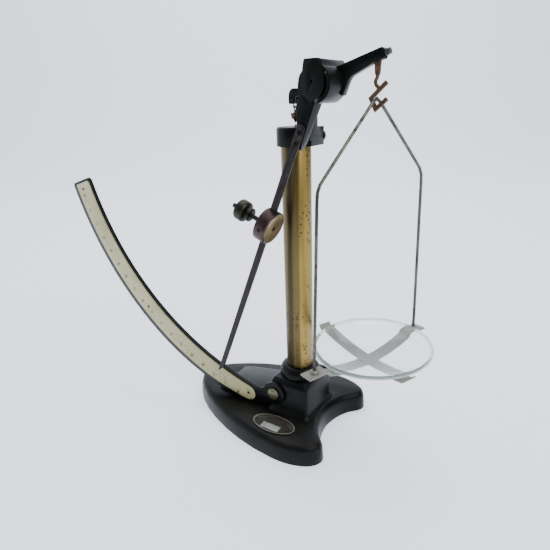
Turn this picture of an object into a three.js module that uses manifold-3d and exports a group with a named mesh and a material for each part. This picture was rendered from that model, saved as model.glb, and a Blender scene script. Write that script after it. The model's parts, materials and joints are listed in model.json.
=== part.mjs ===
// Quadrant balance: a bell-crank beam swings on a knife edge above a brass column.
// The pan hangs from the short load arm, the long pendulum carries a counterweight,
// and its pointer runs down to a curved, enamelled scale bolted to the pedestal.
// Millimetres, +Z up, origin on the ground under the column's axis.
// +X is the pan side, -X the scale side, -Y the front, where the scale is read.
import * as THREE from 'three';
import { mergeVertices } from 'three/addons/utils/BufferGeometryUtils.js';
import Module from 'manifold-3d';

const wasm = await Module();
wasm.setup();

// ---------------------------------------------------------------- driving dimensions
const GAP = 0.3;                    // air between fitted neighbours
const COLUMN_R = 31.75 / 2;         // 1 1/4 inch brass tube
const COLUMN_WALL = 1.6;
const COLUMN_FOOT = 40;             // bottom end of the tube, inside its socket
const DISH_R = 127 / 2;             // 5 inch watch glass
const DISH_DEPTH = 13;
const DISH_GLASS = 3.6;
const BASE_TOP = 24;
const PEDESTAL_TOP = 68;
const COLLAR_TOP = 81;
const CAP_BOTTOM = 338;
const CAP_TOP = 357;
const CAP_R = 20;
const PIVOT = new THREE.Vector3(42.5, -16, 395);
const SWING_REST = THREE.MathUtils.degToRad(22.8);   // pointer's lean from plumb, towards -X
const POINTER_ASIDE = 3.9;          // its centre line passes this far from the pivot
const LOAD = new THREE.Vector3(91.3, -11, 414.5);    // knife that carries the pan
const PAN_TURN = THREE.MathUtils.degToRad(69.5);     // heading of the wire bail's plane

// front to back layers of the swinging side
const FACE_Y = -31;                 // pedestal's front face
const BAR_THICK = 3;
const PLATE_THICK = 1;
const POINTER_Y = -42.1;            // middle of the pointer strip
const POINTER_THICK = 2.2;
const CHEEK_FRONT = -42;            // outer face of the yoke's front cheek
const CHEEK_REAR = 10;              // outer face of its rear cheek
const CHEEK = 6;                    // thickness of a cheek

// scale, measured round the pivot
const SCALE_IN = 356.3;             // inner edge beside the clamp screw
const SCALE_IN_FAR = 364.3;         // and at the bar's far end
const SCALE_FAR = 40;               // width of the bar for most of its length
const SCALE_NEAR = 26.2;            // and where it meets its boss
const PLATE_MARGIN = 3.5;
const SCALE_START = THREE.MathUtils.degToRad(196);
const SCALE_END = THREE.MathUtils.degToRad(255.5);
const SCALE_SCREW = new THREE.Vector2(-18.1, 48.8);
const POINTER_TIP = 361;

// counterweight and balance nut, along the pendulum and square to it
const WEIGHT_AT = 144;
const WEIGHT_R = 18;
const WEIGHT_THICK = 14;
const STUD_R = 2.6;
const STUD_END = 45;

// pan
const BAIL_TOP = 381.0;             // wire's centre where it hangs in the hook
const BAIL_R = 1.6;
const BAIL_BEND = 309;
const BAIL_BEND_OUT = 70;
const BAIL_FOOT = 129.6;
const BAIL_FOOT_OUT = 75;
const STRIP_W = 15;
const STRIP_CROSSING = THREE.MathUtils.degToRad(-94.5);
const STRIP_THICK = 1.6;
const STRIP_LOW = 112.2;            // underside of the lower strip at the crossing
const STRIP_CURVE = 170;            // the long strip's bending radius
const STRIP_HALF = 61;              // its bent part, out from the crossing
const FLANGE_RISE = 4.4;            // its flat ends stand this far above the bend
const SHORT_CURVE = 260;            // the short strip is flatter
const SHORT_HALF = 62;
const SHORT_LEAN = 0.045;           // and hangs a little lower at its front end
const SHORT_OFFSET = 8;             // crossing's distance from the middle of the long strip
const FERRULE_R = 4.4;
const FERRULE_TALL = 3.4;
const DISH_SLID = 2.1;              // degrees that the dish has slid round its own curve

// ---------------------------------------------------------------- materials
const material = (color, roughness, metalness, more = {}) =>
  new THREE.MeshStandardMaterial({ color, roughness, metalness, ...more });
const enamel = material(0x17181a, 0.32, 0.1);
const brass = material(0xa8883f, 0.42, 0.9);
const darkBrass = material(0x7a4e38, 0.5, 0.8);
const steel = material(0x8c8d88, 0.42, 0.9);
const blackSteel = material(0x3a3736, 0.5, 0.7);
const rustySteel = material(0x6d4a34, 0.65, 0.6);
const cream = material(0xcfc9a4, 0.5, 0.0);
const glass = material(0xdfeee8, 0.05, 0.0, { transparent: true, opacity: 0.35 });

// ---------------------------------------------------------------- solids
function toSolid(geometry) {
  const bare = geometry.clone();
  bare.deleteAttribute('normal');
  bare.deleteAttribute('uv');
  const merged = mergeVertices(bare, 1e-4);
  const kept = [];
  const index = merged.index.array;
  for (let i = 0; i < index.length; i += 3) {
    const [a, b, c] = [index[i], index[i + 1], index[i + 2]];
    if (a !== b && b !== c && c !== a) kept.push(a, b, c);
  }
  return new wasm.Manifold(new wasm.Mesh({
    numProp: 3,
    vertProperties: new Float32Array(merged.attributes.position.array),
    triVerts: new Uint32Array(kept),
  }));
}

function toGeometry(solid) {
  const mesh = solid.getMesh();
  const geometry = new THREE.BufferGeometry();
  geometry.setAttribute('position', new THREE.BufferAttribute(mesh.vertProperties, 3));
  geometry.setIndex(new THREE.BufferAttribute(mesh.triVerts, 1));
  geometry.computeVertexNormals();
  return geometry;
}

function join(...geometries) {
  return toGeometry(geometries.map(toSolid).reduce((whole, next) => whole.add(next)));
}

function cut(geometry, ...tools) {
  return toGeometry(tools.map(toSolid).reduce((whole, tool) => whole.subtract(tool), toSolid(geometry)));
}

// ---------------------------------------------------------------- shapes
const box = (x0, x1, y0, y1, z0, z1) =>
  new THREE.BoxGeometry(x1 - x0, y1 - y0, z1 - z0)
    .translate((x0 + x1) / 2, (y0 + y1) / 2, (z0 + z1) / 2);

const extrude = (shape, depth, curveSegments = 12) =>
  new THREE.ExtrudeGeometry(shape, { depth, bevelEnabled: false, curveSegments });

// an outline drawn in X and Z, between two Y planes, with its edges rounded over
function slab(shape, yFront, yBack, round = 0, curveSegments = 5) {
  const options = { depth: yBack - yFront - 2 * round, curveSegments, bevelEnabled: round > 0 };
  Object.assign(options, {
    bevelThickness: round, bevelSize: round, bevelOffset: -round, bevelSegments: 2,
  });
  return new THREE.ExtrudeGeometry(shape, options)
    .rotateX(Math.PI / 2)
    .translate(0, yBack - round, 0);
}

// a turned piece: its profile is pairs of radius and height, on the axis at both ends
function turned(profile, segments = 32) {
  const points = profile.map(([r, h]) => new THREE.Vector2(r, h));
  return new THREE.LatheGeometry(points, segments).rotateX(Math.PI / 2);
}

const rod = (radius, z0, z1, segments = 24) =>
  turned([[0, z0], [radius, z0], [radius, z1], [0, z1]], segments);

const alongX = (geometry) => geometry.rotateY(Math.PI / 2);
const alongY = (geometry) => geometry.rotateX(-Math.PI / 2);

// a domed screw head with its shank, pointing up +Z from its seat at height 0
function domedScrew(headR, headH, shankR, shankL, slotW) {
  const dome = [[0, -shankL], [shankR, -shankL], [shankR, 0], [headR, 0], [headR, headH * 0.3]];
  for (let step = 1; step <= 5; step += 1) {
    const turn = (step / 5) * Math.PI / 2;
    dome.push([headR * Math.cos(turn), headH * (0.3 + 0.7 * Math.sin(turn))]);
  }
  dome[dome.length - 1][0] = 0;
  const slot = box(-headR - 1, headR + 1, -slotW / 2, slotW / 2, headH * 0.6, headH + 1);
  return cut(turned(dome, 24), slot);
}

// a wire or strip section swept along points joined by a smooth curve
function wire(points, radius, steps, sides = 10, tension = 0.5) {
  const path = new THREE.CatmullRomCurve3(points, false, 'catmullrom', tension);
  return sweep(path, roundSection(radius, sides), steps);
}

function roundSection(radius, sides) {
  const section = new THREE.Shape();
  for (let side = 0; side < sides; side += 1) {
    const turn = (side / sides) * 2 * Math.PI;
    section[side ? 'lineTo' : 'moveTo'](radius * Math.cos(turn), radius * Math.sin(turn));
  }
  return section;
}

const sweep = (path, section, steps) =>
  new THREE.ExtrudeGeometry(section, { extrudePath: path, steps, bevelEnabled: false });

// stacked outlines of equal point count, skinned and closed at both ends
function loft(rings) {
  const count = rings[0].points.length;
  const positions = rings.flatMap(({ points, z }) => points.flatMap((p) => [p.x, p.y, z]));
  const index = [];
  for (let ring = 0; ring < rings.length - 1; ring += 1) {
    for (let i = 0; i < count; i += 1) {
      const a = ring * count + i;
      const b = ring * count + ((i + 1) % count);
      index.push(a, b, b + count, a, b + count, a + count);
    }
  }
  const top = (rings.length - 1) * count;
  for (const [a, b, c] of THREE.ShapeUtils.triangulateShape(rings[0].points, [])) {
    index.push(a, c, b);
  }
  for (const [a, b, c] of THREE.ShapeUtils.triangulateShape(rings.at(-1).points, [])) {
    index.push(top + a, top + b, top + c);
  }
  const geometry = new THREE.BufferGeometry();
  geometry.setAttribute('position', new THREE.Float32BufferAttribute(positions, 3));
  geometry.setIndex(index);
  return geometry;
}

// an anticlockwise outline moved inwards by a distance, or outwards if it is negative
function inset(points, distance) {
  return points.map((point, i) => {
    const before = points[(i + points.length - 1) % points.length];
    const after = points[(i + 1) % points.length];
    const along = after.clone().sub(before).normalize();
    return new THREE.Vector2(point.x - along.y * distance, point.y + along.x * distance);
  });
}

function roundedBox(halfX, halfY, corner, steps) {
  const points = [];
  for (const [sx, sy, start] of [[1, 1, 0], [-1, 1, 90], [-1, -1, 180], [1, -1, 270]]) {
    for (let step = 0; step <= steps; step += 1) {
      const turn = THREE.MathUtils.degToRad(start + (90 * step) / steps);
      points.push(new THREE.Vector2(
        sx * (halfX - corner) + corner * Math.cos(turn),
        sy * (halfY - corner) + corner * Math.sin(turn),
      ));
    }
  }
  return points;
}

// a flat ribbon's outline, to both sides of a bent centre line, mitred at its bends
function ribbon(centre, left, right) {
  const edge = (distance) => centre.map((point, i) => {
    const into = point.clone().sub(centre[i - 1] ?? point).normalize();
    const out = (centre[i + 1] ?? point).clone().sub(point).normalize();
    const along = into.clone().add(out).normalize();
    const side = new THREE.Vector2(-along.y, along.x);
    const cosine = along.dot(out.length() ? out : into);
    return point.clone().addScaledVector(side, distance / cosine);
  });
  return new THREE.Shape([...edge(left), ...edge(right).reverse()]);
}

const polar = (centre, radius, angle) =>
  new THREE.Vector2(centre.x + radius * Math.cos(angle), centre.y + radius * Math.sin(angle));

function polygon(...corners) {
  const shape = new THREE.Shape();
  corners.forEach(([x, z], i) => shape[i ? 'lineTo' : 'moveTo'](x, z));
  shape.closePath();
  return shape;
}

// a polygon whose corners are rounded off to given radii
function roundedPolygon(corners) {
  const shape = new THREE.Shape();
  const at = (i) => new THREE.Vector2(...corners[(i + corners.length) % corners.length]);
  corners.forEach(([, , radius = 0], i) => {
    const here = at(i);
    const into = at(i - 1).sub(here).setLength(radius).add(here);
    const out = at(i + 1).sub(here).setLength(radius).add(here);
    shape[i ? 'lineTo' : 'moveTo'](into.x, into.y);
    if (radius) shape.quadraticCurveTo(here.x, here.y, out.x, out.y);
  });
  shape.closePath();
  return shape;
}

// ---------------------------------------------------------------- assembly helpers
const balance = new THREE.Group();

function add(parent, name, geometry, finish, position = [0, 0, 0], rotation = [0, 0, 0]) {
  const mesh = new THREE.Mesh(geometry, finish);
  mesh.name = name;
  mesh.position.set(...position);
  mesh.rotation.set(...rotation);
  parent.add(mesh);
}

// ---------------------------------------------------------------- base and column
// a shield in plan: pointed towards the scale, hollowed between two feet on the pan side
function baseOutline() {
  const half = new THREE.Path();
  half.moveTo(36, 0);
  half.quadraticCurveTo(38.5, 31, 54.5, 45.5);
  half.quadraticCurveTo(61, 51.5, 60.5, 59);
  half.quadraticCurveTo(58.5, 70.5, 44.5, 76.5);
  half.bezierCurveTo(33, 81.5, 22, 83, 8, 82.5);
  half.bezierCurveTo(-70, 80, -159.5, 34, -159.5, 0);
  const upper = half.getPoints(9);
  const lower = upper.slice(1, -1).reverse().map((p) => new THREE.Vector2(p.x, -p.y));
  return [...upper, ...lower];
}

function baseCasting() {
  const outline = baseOutline();
  const plinth = loft([
    { points: outline, z: 0 },
    { points: inset(outline, 1), z: 16 },
    { points: inset(outline, 2.4), z: 20.5 },
    { points: inset(outline, 5), z: 23.2 },
    { points: inset(outline, 8), z: BASE_TOP },
  ]);
  const foot = roundedBox(25.5, -FACE_Y, 5, 4);
  const pedestal = loft([
    { points: inset(foot, -6), z: BASE_TOP - 4 },
    { points: inset(foot, -4.5), z: BASE_TOP + 0.6 },
    { points: inset(foot, -1.6), z: BASE_TOP + 3 },
    { points: foot, z: BASE_TOP + 7 },
    { points: foot, z: PEDESTAL_TOP - 8 },
    { points: inset(foot, 1.4), z: PEDESTAL_TOP - 4 },
    { points: inset(foot, 3.4), z: PEDESTAL_TOP - 1.4 },
    { points: inset(foot, 4.9), z: PEDESTAL_TOP },
  ]);
  const wedge = polygon([-20, 18], [-20, 44], [-30, 42], [-96, 31], [-108, 27], [-112, 18]);
  const ridge = slab(wedge, FACE_Y + GAP, -FACE_Y - GAP, 4);
  const collar = turned([
    [0, 60], [24.5, 60], [24.5, PEDESTAL_TOP + 3], [23.6, COLLAR_TOP - 5],
    [21.4, COLLAR_TOP - 1.6], [18.2, COLLAR_TOP], [0, COLLAR_TOP],
  ], 40);
  const socket = rod(COLUMN_R + GAP, COLUMN_FOOT - GAP, COLLAR_TOP + 1, 40);
  const screwHole = alongY(rod(4.4, -2, 24)).translate(SCALE_SCREW.x, FACE_Y, SCALE_SCREW.y);
  return cut(join(plinth, pedestal, ridge, collar), socket, screwHole);
}

// oval name plate with a raised rim, held by two pins
const PLATE_AT = new THREE.Vector2(-4, -57);
const PLATE_PIN = 23;

function namePlate() {
  const oval = (a, b) => new THREE.Shape().absellipse(0, 0, a, b, 0, 2 * Math.PI);
  const plate = extrude(oval(28.5, 15), 1.3, 24);
  const field = extrude(oval(26.8, 13.3), 1, 24).translate(0, 0, 0.9);
  const pinHoles = [-1, 1].map((side) => rod(1.4, -1, 3, 12).translate(side * PLATE_PIN, 0, 0));
  return cut(plate, field, ...pinHoles);
}

function pinWithHead(headR, headH, shankR, shankL) {
  return turned([
    [0, -shankL], [shankR, -shankL], [shankR, 0], [headR, 0],
    [headR, headH * 0.4], [headR * 0.7, headH * 0.85], [0, headH],
  ], 12);
}

function columnTube() {
  const top = CAP_TOP - 7;
  const inner = COLUMN_R - COLUMN_WALL;
  return turned([
    [inner, COLUMN_FOOT], [COLUMN_R, COLUMN_FOOT], [COLUMN_R, top], [inner, top], [inner, COLUMN_FOOT],
  ], 48);
}

// ---------------------------------------------------------------- head and bearings
const TROUGH_R = 12.5;              // bearing arm's cross bar, round the swing axis
const TROUGH_FRONT = -33;
const TROUGH_REAR = 2.5;
const KNIFE_SEAT = PIVOT.z - GAP;   // face of the bearing blocks

function headCasting() {
  const cap = turned([
    [0, CAP_BOTTOM], [CAP_R, CAP_BOTTOM], [CAP_R, CAP_TOP - 1.5], [CAP_R - 1.5, CAP_TOP], [0, CAP_TOP],
  ], 40);
  const lug = box(0, 25, -11.7, 14.7, CAP_BOTTOM + 0.5, CAP_TOP - 0.4);
  const arm = roundedPolygon([
    [25, CAP_BOTTOM + 6], [25, 379, 4], [34, 386.4], [50, 395], [42.5, 405], [32.5, 402.5, 3],
    [21.5, 410.5, 3], [14, 406, 4.5], [11.5, 394, 4], [13, 384, 3], [10, 376, 3], [10, CAP_BOTTOM + 6],
  ]);
  const neck = slab(arm, -15.5, TROUGH_REAR, 1.2);
  const trough = alongY(rod(TROUGH_R, 0, TROUGH_REAR - TROUGH_FRONT, 32))
    .translate(PIVOT.x, TROUGH_FRONT, PIVOT.z);
  const claw = roundedPolygon([
    [20, 386], [20, 392.5], [-1, 393.5, 2.6], [-4.3, 389, 2.6], [-4.3, 378.6, 2], [2.8, 378.6, 2],
    [3.2, 386, 2],
  ]);
  const prongs = slab(claw, -6, 6, 0.8);
  const bore = rod(COLUMN_R + GAP, CAP_BOTTOM - 1, CAP_TOP - 6.5, 40);
  const channel = box(PIVOT.x - 8, PIVOT.x + 8, -40, 10, KNIFE_SEAT - 5 - GAP, PIVOT.z + 20);
  const fork = box(-8, 3.5, -3, 3, 370, 389);
  const pinHole = alongY(rod(1.5, -8, 8, 12)).translate(0, 0, 382.2);
  const lockHole = alongY(rod(3.4, -6, 20, 20)).translate(20, 0, 347);
  const indexHole = rod(1.5, CAP_TOP - 4, CAP_TOP + 1, 12);
  return cut(join(cap, lug, neck, trough, prongs), bore, channel, fork, pinHole, lockHole, indexHole);
}

function bearingBlock() {
  return box(-7.6, 7.6, -4.5, 4.5, -5, 0);
}

// ---------------------------------------------------------------- beam
// the yoke straddles the bearing arm: two cheeks, a bridge over the top, a web on the pan side
function beamCasting() {
  const cheek = new THREE.Shape();
  cheek.moveTo(-8.6, 19.5);
  cheek.quadraticCurveTo(-8.4, 21, -6.5, 21);
  cheek.lineTo(4.5, 21);
  cheek.quadraticCurveTo(7, 21, 7.4, 18);
  cheek.lineTo(11.3, 6);
  cheek.bezierCurveTo(13, -8, 6, -14, 0, -14);
  cheek.bezierCurveTo(-6, -14, -12.4, -8, -11.3, 4);
  cheek.closePath();
  const cheeks = [CHEEK_FRONT, CHEEK_REAR - CHEEK].map((front) =>
    slab(cheek, front, front + CHEEK, 0.8).translate(PIVOT.x, 0, PIVOT.z));

  const bridgeShape = roundedPolygon([[-8, 14.3], [-8, 20.6, 1.5], [7.2, 20.6, 2], [11.4, 8, 2],
    [12.6, 7, 0], [4, 14.3, 2]]);
  const bridge = slab(bridgeShape, CHEEK_FRONT + 2, CHEEK_REAR - 2).translate(PIVOT.x, 0, PIVOT.z);

  const web = new THREE.Shape();
  web.absarc(0, 0, 17.5, THREE.MathUtils.degToRad(-72), THREE.MathUtils.degToRad(62), false);
  web.absarc(0, 0, 14, THREE.MathUtils.degToRad(62), THREE.MathUtils.degToRad(-72), true);
  const shell = slab(web, CHEEK_FRONT + 2, -6).translate(PIVOT.x, 0, PIVOT.z);

  const armShape = roundedPolygon([
    [56.8, 396], [50.5, 408.6], [96.2, 422.4, 2], [99, 413, 2], [91.8, 411.5],
    [66, 399.4, 4], [60, 384.6], [57.4, 384.2],
  ]);
  const arm = slab(armShape, -15, -7, 0.7);

  const pendulum = new THREE.Group();
  pendulum.rotation.y = SWING_REST;
  pendulum.updateMatrix();
  const onPendulum = (geometry) => geometry.translate(POINTER_ASIDE, 0, 0)
    .applyMatrix4(pendulum.matrix).translate(PIVOT.x, 0, PIVOT.z);
  const root = onPendulum(box(-9, 3.6, -40.8, -34, -18, -5));
  const shank = onPendulum(loft([
    { points: shankSection(-3, 5.2, -38, -33), z: -59 },
    { points: shankSection(-3.4, 5.6, -40.8, -31), z: -52 },
    { points: shankSection(-7.4, 4.6, -40.8, -27), z: -22 },
    { points: shankSection(-9.6, 4.4, -40.8, -26), z: -14 },
  ]));

  const knifeHole = knifeBar(KNIFE_LENGTH + 2 * GAP, GAP).translate(PIVOT.x, KNIFE_FRONT - GAP, PIVOT.z);
  const centreHole = alongY(rod(1.3, -6, 3, 12)).translate(PIVOT.x, CHEEK_FRONT + 1, PIVOT.z + 2);
  const opening = polygon([86.3, 404], [86.3, 418.2], [95.4, 418.2], [101, 413.4], [101, 404]);
  const slot = slab(opening, LOAD.y - 1.9, LOAD.y + 1.9);
  const loadHole = alongY(rod(1.9, -3.3, 3.3, 12)).translate(LOAD.x, LOAD.y, LOAD.z);
  const rivetHoles = RIVETS.map((down) => pendulumPoint(0, -36, -down))
    .map(([x, y, z]) => alongY(rod(1.6, -9, 9, 12)).translate(x, y, z));
  return cut(join(...cheeks, bridge, shell, arm, root, shank), knifeHole, centreHole, slot, loadHole, ...rivetHoles);
}

function shankSection(x0, x1, y0, y1) {
  return [[x0, y0], [x1, y0], [x1, y1], [x0, y1]].map(([x, y]) => new THREE.Vector2(x, y));
}

// a point of the pendulum, given beside its centre line, in Y, and up it from the pivot
function pendulumPoint(aside, y, up) {
  const across = aside + POINTER_ASIDE;
  return [
    PIVOT.x + across * Math.cos(SWING_REST) + up * Math.sin(SWING_REST),
    y,
    PIVOT.z - across * Math.sin(SWING_REST) + up * Math.cos(SWING_REST),
  ];
}

const RIVETS = [43.5, 54.5];            // distances from the pivot down to the pointer's two rivets

const KNIFE_FRONT = CHEEK_FRONT + 3; // ends hidden inside the cheeks
const KNIFE_LENGTH = CHEEK_REAR - 3 - KNIFE_FRONT;

// three-sided knife lying along Y, its working edge down on the swing axis
function knifeBar(length, grow = 0) {
  const edge = polygon([0, -grow * 2], [3.2 + grow, 6.4 + grow], [-3.2 - grow, 6.4 + grow]);
  return slab(edge, 0, length);
}

function pointer() {
  const strip = polygon(
    [-4.2, -38], [-3.1, -POINTER_TIP], [3.1, -POINTER_TIP + 10.5], [4.2, -38], [2.4, -35.6], [-2.4, -35.6],
  );
  const holes = RIVETS.map((down) => alongY(rod(1.6, -9, 9, 12)).translate(0, 0, -down));
  return cut(slab(strip, -POINTER_THICK / 2, POINTER_THICK / 2), ...holes);
}

function counterweight() {
  const disc = alongX(turned([
    [0, -WEIGHT_THICK / 2], [WEIGHT_R - 0.6, -WEIGHT_THICK / 2], [WEIGHT_R, -WEIGHT_THICK / 2 + 0.6],
    [WEIGHT_R, WEIGHT_THICK / 2 - 1.2], [WEIGHT_R - 1.2, WEIGHT_THICK / 2], [0, WEIGHT_THICK / 2],
  ], 48));
  const slot = box(-4.4, 4.4, -POINTER_THICK / 2 - GAP, POINTER_THICK / 2 + GAP, -20, 20);
  const screwHole = alongX(rod(2.9, 3, 10, 20));
  const studHole = alongX(rod(STUD_R + GAP, -9, -3, 16));
  const grubHole = alongY(rod(1.9, -20, -0.8, 12));
  return cut(disc, slot, screwHole, studHole, grubHole);
}

// ---------------------------------------------------------------- scale
const alongScale = (angle) => (angle - SCALE_START) / (SCALE_END - SCALE_START);
const scaleInner = (angle) => SCALE_IN_FAR + (SCALE_IN - SCALE_IN_FAR) * alongScale(angle);
const scaleWidth = (angle) => SCALE_NEAR + (SCALE_FAR - SCALE_NEAR) * (1 - alongScale(angle) ** 6);
const hub = new THREE.Vector2(PIVOT.x, PIVOT.z);

function scaleEdge(offset, from, to, steps) {
  return Array.from({ length: steps + 1 }, (_, i) => {
    const angle = from + ((to - from) * i) / steps;
    return polar(hub, scaleInner(angle) + offset(angle), angle);
  });
}

// the far end's two corners are rounded: the edges stop short and meet across the end
const CORNER = 3;
const cornerTurn = CORNER / 380;

function scaleBar() {
  const inner = scaleEdge(() => 0, SCALE_START + cornerTurn, SCALE_END, 30);
  const outer = scaleEdge(scaleWidth, SCALE_END, SCALE_START + cornerTurn, 30);
  const end = [SCALE_FAR - CORNER, CORNER].map((out) => polar(hub, SCALE_IN_FAR + out, SCALE_START));
  const boss = Array.from({ length: 15 }, (_, i) =>
    polar(SCALE_SCREW, 14.5, THREE.MathUtils.degToRad(158 - i * 18.4)));
  const shape = new THREE.Shape([...inner, new THREE.Vector2(-36.4, 50), ...boss, ...outer, ...end]);
  const bar = slab(shape, FACE_Y - GAP - BAR_THICK, FACE_Y - GAP);
  const screwHole = alongY(rod(4.4, -10, 10, 20)).translate(SCALE_SCREW.x, FACE_Y, SCALE_SCREW.y);
  return cut(bar, screwHole, ...platePinHoles());
}

const PLATE_PINS = [254.6, 226, 197.8].map(THREE.MathUtils.degToRad);
const platePinAt = (angle) => polar(hub, scaleInner(angle) + scaleWidth(angle) / 2, angle);
const PLATE_BACK = FACE_Y - 2 * GAP - BAR_THICK;

const platePinHoles = () => PLATE_PINS.map(platePinAt)
  .map((at) => alongY(rod(1.3, -8, 8, 12)).translate(at.x, PLATE_BACK, at.y));

function scalePlate() {
  const start = SCALE_START + PLATE_MARGIN / 380;
  const end = PLATE_PINS[0];
  const inner = scaleEdge(() => PLATE_MARGIN, start + cornerTurn, end, 30);
  const outer = scaleEdge((angle) => scaleWidth(angle) - PLATE_MARGIN, end, start + cornerTurn, 30);
  const pin = platePinAt(end);
  const round = scaleWidth(end) / 2 - PLATE_MARGIN;
  const nose = Array.from({ length: 9 }, (_, i) => polar(pin, round, end + Math.PI - ((i + 1) * Math.PI) / 10));
  const square = [SCALE_FAR - PLATE_MARGIN - CORNER, PLATE_MARGIN + CORNER]
    .map((out) => polar(hub, SCALE_IN_FAR + out, start));
  const shape = new THREE.Shape([...inner, ...nose, ...outer, ...square]);
  return cut(slab(shape, PLATE_BACK - PLATE_THICK, PLATE_BACK), ...platePinHoles());
}

// ---------------------------------------------------------------- plumb bob
const BOB_EYE = 374.6;
const BOB_TIP = 360.4;

function plumbBob() {
  const body = turned([
    [0, BOB_TIP], [0.5, BOB_TIP + 0.4], [1.9, BOB_TIP + 3], [2, 364.2], [3.8, 364.8], [4.8, 368.6],
    [4.8, 370], [2.2, 370.4], [1.2, 371], [1.2, 372.6], [0, 372.6],
  ], 24);
  const eye = new THREE.TorusGeometry(2.2, 0.7, 8, 16).rotateY(Math.PI / 2).translate(0, 0, BOB_EYE);
  return join(body, eye);
}

// a closed loop of wire between the pin and the bob's eye
function plumbLink() {
  const loop = new THREE.CatmullRomCurve3([
    [0, 384.2], [1.9, 383.2], [1.9, 379.6], [1.9, 376], [0, 375], [-1.9, 376], [-1.9, 379.6], [-1.9, 383.2],
  ].map(([x, z]) => new THREE.Vector3(x, 0, z)), true);
  return closedSweep(loop, 0.65, 28, 8);
}

// a round section carried round a closed loop that lies in the XZ plane
function closedSweep(loop, radius, steps, sides) {
  const positions = [];
  const index = [];
  for (let step = 0; step < steps; step += 1) {
    const centre = loop.getPointAt(step / steps);
    const along = loop.getTangentAt(step / steps);
    const side = new THREE.Vector3(-along.z, 0, along.x);
    for (let i = 0; i < sides; i += 1) {
      const turn = (i / sides) * 2 * Math.PI;
      const point = centre.clone().addScaledVector(side, radius * Math.cos(turn));
      point.y += radius * Math.sin(turn);
      positions.push(point.x, point.y, point.z);
      const a = step * sides + i;
      const b = step * sides + ((i + 1) % sides);
      const [c, d] = [a, b].map((at) => (at + sides) % (steps * sides));
      index.push(a, c, b, b, c, d);
    }
  }
  const geometry = new THREE.BufferGeometry();
  geometry.setAttribute('position', new THREE.Float32BufferAttribute(positions, 3));
  geometry.setIndex(index);
  return geometry;
}

// ---------------------------------------------------------------- pan
// one forging: an eye on the load knife, a shank twisted a quarter turn, and a bent foot
// that is open towards +X, with the bail hanging in its lower bend
const HOOK_PATH = [[8.8, -20.4], [-5.4, -33.4], [-0.7, -42.6], [9.4, -34.2]];
const HOOK_HALF = 1.8;
const HOOK_WIDTH = 3;

function panHook() {
  const flat = roundedPolygon([
    [-3, 2.6, 2.4], [3, 2.6, 2.4], [3, -3, 1], [2.7, -6.5, 1], [2.2, -13, 1], [1.1, -15.5],
    [-1.1, -15.5], [-2.2, -13, 1], [-2.7, -6.5, 1], [-3, -3, 1],
  ]);
  const plate = slab(flat, -1.3, 1.3);
  const bends = [[0, -14], [-0.4, -16.5], [-1.7, -19], [-1.2, -22], [1.2, -25], [2.4, -27]];
  const shank = wire(bends.map(([x, z]) => new THREE.Vector3(x, 0, z)), 1.7, 14, 8);
  const foot = ribbon(HOOK_PATH.map(([x, z]) => new THREE.Vector2(x, z)), HOOK_HALF, -HOOK_HALF);
  const eye = alongY(rod(1.9, -4, 4, 16));
  return cut(join(plate, shank, slab(foot, -HOOK_WIDTH / 2, HOOK_WIDTH / 2)), eye);
}

// one wire, over the hook and down both sides, in the bail's own upright plane
function bailWire() {
  const side = (way) => [
    [way * BAIL_FOOT_OUT, BAIL_FOOT + 30], [way * (BAIL_BEND_OUT + 1.6), BAIL_BEND - 30],
    [way * (BAIL_BEND_OUT + 0.2), BAIL_BEND - 3], [way * (BAIL_BEND_OUT - 3), BAIL_BEND + 4],
    [way * 36, (BAIL_BEND + BAIL_TOP) / 2 + 0.5], [way * 9, BAIL_TOP - 7.5],
  ];
  const points = [
    [-BAIL_FOOT_OUT, BAIL_FOOT], ...side(-1), [-3.4, BAIL_TOP - 1.6], [0, BAIL_TOP],
    [3.4, BAIL_TOP - 1.6], ...side(1).reverse(), [BAIL_FOOT_OUT, BAIL_FOOT],
  ];
  return wire(points.map(([x, z]) => new THREE.Vector3(x, 0, z)), BAIL_R, 76, 10);
}

// a coned ferrule that locks each foot of the wire to its flange
const ferrule = (bore, foot, height) => turned([
  [bore, 0], [foot, 0], [foot, 0.8], [foot * 0.62, height], [bore, height], [bore, 0],
], 24);

// a strip bent up along the dish; the outline runs out along the top and back underneath
function strip(low, curve, halfOut, endings) {
  const steps = 7;
  const rise = (out) => (out * out) / (2 * curve);
  const arc = Array.from({ length: 2 * steps + 1 }, (_, i) => (halfOut * (i - steps)) / steps)
    .map((out) => new THREE.Vector2(out, low + rise(out)));
  const end = (way) => endings.map(([out, up]) =>
    new THREE.Vector2(way * (halfOut + out), low + rise(halfOut) + up));
  const centre = [...end(-1).reverse(), ...arc, ...end(1)];
  return slab(ribbon(centre, STRIP_THICK, 0), -STRIP_W / 2, STRIP_W / 2);
}

function dish() {
  const depth = DISH_DEPTH;
  const curve = (DISH_R * DISH_R + depth * depth) / (2 * depth);
  const steps = 6;
  const arc = (shift, reach) => Array.from({ length: steps + 1 }, (_, i) => {
    const r = (reach * i) / steps;
    return [r, shift + curve - Math.sqrt(curve * curve - r * r)];
  });
  const rim = [[DISH_R, depth + 1.2], [DISH_R - 0.9, depth + DISH_GLASS - 1.2]];
  return turned([...arc(0, DISH_R), ...rim, ...arc(DISH_GLASS, DISH_R - 3.2).reverse()], 48);
}

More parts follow.
